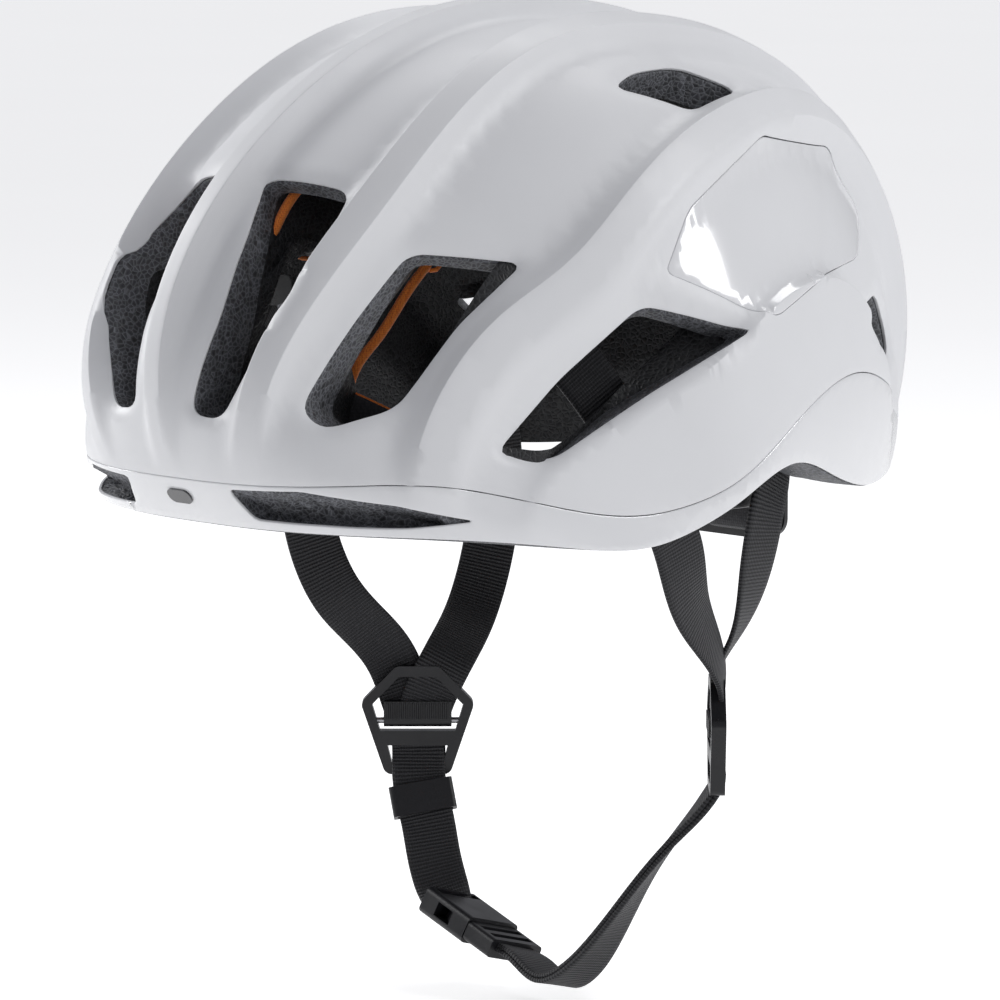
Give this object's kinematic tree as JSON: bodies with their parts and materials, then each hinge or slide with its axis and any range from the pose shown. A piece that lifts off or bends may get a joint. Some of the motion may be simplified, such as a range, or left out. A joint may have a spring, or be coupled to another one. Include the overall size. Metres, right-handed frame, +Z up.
{
  "type": "cycling helmet",
  "caption": "Vented road cycling helmet with moulded shells over a foam liner, webbing harness with side-release buckle, and a dial-adjusted rear fit system.",
  "frame": {"origin": "on the mid-plane over the middle of the head, at the height of the brow's lower edge", "axes": "+X to the wearer's left, +Y to the rear, +Z up"},
  "size_m": [0.2106, 0.2833, 0.3125],
  "materials": {
    "shell_matte": "satin white, moulded polycarbonate",
    "shell_gloss": "gloss white, moulded polycarbonate",
    "foam": "dark grey expanded polystyrene with visible beads",
    "pad": "black knitted fabric over foam, orange piping",
    "hook_tape": "black hook tape",
    "webbing": "black woven polyester webbing",
    "hardware": "black moulded acetal",
    "steel": "plain steel",
    "badge": "gloss black",
    "keeper_rubber": "soft black rubber"
  },
  "bodies": {
    "root": {"outer_shell": "shell_matte", "lower_shell": "shell_gloss", "side_panel_left": "shell_gloss", "side_panel_right": "shell_gloss", "eps_liner": "foam", "brow_pad": "pad", "crown_pad_center": "pad", "crown_pad_left": "pad", "crown_pad_right": "pad", "pad_hook_dots": "hook_tape", "front_strap_left": "webbing", "rear_strap_left": "webbing", "front_strap_right": "webbing", "rear_strap_right": "webbing", "strap_anchors_front": "hardware", "strap_anchors_rear": "hardware", "divider_frame_left": "hardware", "divider_frame_right": "hardware", "divider_pin_left": "steel", "divider_pin_right": "steel", "chin_strap_right": "webbing", "chin_strap_left": "webbing", "buckle_socket": "hardware", "fit_arm_left": "hardware", "fit_arm_right": "hardware", "temple_anchors": "hardware", "stem_anchor": "hardware", "front_badge": "badge"},
    "buckle_plug_body": {"buckle_plug": "hardware"},
    "latch_front": {"latch_arm_front": "hardware"},
    "latch_rear": {"latch_arm_rear": "hardware"},
    "lever_left": {"divider_lever_left": "hardware"},
    "lever_right": {"divider_lever_right": "hardware"},
    "keeper": {"strap_keeper": "keeper_rubber"},
    "cradle": {"cradle_housing": "hardware", "cradle_cover": "hardware", "detent_spring": "hardware", "occipital_pads": "pad", "height_stem": "hardware"},
    "dial": {"drive_pinion": "hardware", "dial_knob": "keeper_rubber", "dial_screw": "steel"},
    "left_rack_body": {"left_rack": "hardware"},
    "right_rack_body": {"right_rack": "hardware"}
  },
  "joints": [
    {"name": "cradle_height", "type": "slide", "parent": "root", "child": "cradle", "axis": [0, 0, -1], "range_m": [0, 0.015], "deforming": ["fit_arm_left", "fit_arm_right"]},
    {"name": "dial_turn", "type": "hinge", "parent": "cradle", "child": "dial", "pos_m": [0, 0.1, -0.0125], "axis": [0, -1, 0], "range_deg": [0, 171.8]},
    {"name": "left_rack_slide", "type": "slide", "parent": "cradle", "child": "left_rack_body", "axis": [-1, 0, 0], "range_m": [0, 0.018]},
    {"name": "right_rack_slide", "type": "slide", "parent": "cradle", "child": "right_rack_body", "axis": [1, 0, 0], "range_m": [0, 0.018]},
    {"name": "divider_lever_left_turn", "type": "hinge", "parent": "root", "child": "lever_left", "pos_m": [0.064, 0.034, -0.076], "axis": [0.7071, -0.7071, 0], "range_deg": [0, 80]},
    {"name": "divider_lever_right_turn", "type": "hinge", "parent": "root", "child": "lever_right", "pos_m": [-0.064, 0.03, -0.087], "axis": [0.7071, 0.7071, 0], "range_deg": [0, 80]},
    {"name": "keeper_slide", "type": "slide", "parent": "root", "child": "keeper", "axis": [0.3559, -0.0989, -0.9293], "range_m": [0, 0.012]},
    {"name": "buckle_release", "type": "slide", "parent": "root", "child": "buckle_plug_body", "axis": [0.9505, -0.08, -0.3002], "range_m": [0, 0.03], "deforming": ["chin_strap_left", "latch_arm_front", "latch_arm_rear"]},
    {"name": "latch_front_squeeze", "type": "hinge", "parent": "buckle_plug_body", "child": "latch_front", "pos_m": [-0.02375, 0.01606, -0.14832], "axis": [-0.3106, -0.2542, -0.9159], "range_deg": [0, 8], "stiffness_Nm_per_rad": 0.05},
    {"name": "latch_rear_squeeze", "type": "hinge", "parent": "buckle_plug_body", "child": "latch_rear", "pos_m": [-0.02379, 0.0284, -0.15173], "axis": [0.3106, 0.2542, 0.9159], "range_deg": [0, 8], "stiffness_Nm_per_rad": 0.05}
  ],
  "couplings": [
    {"joint": "left_rack_slide", "follows": "dial_turn", "m_per_rad": 0.006},
    {"joint": "right_rack_slide", "follows": "dial_turn", "m_per_rad": 0.006}
  ]
}
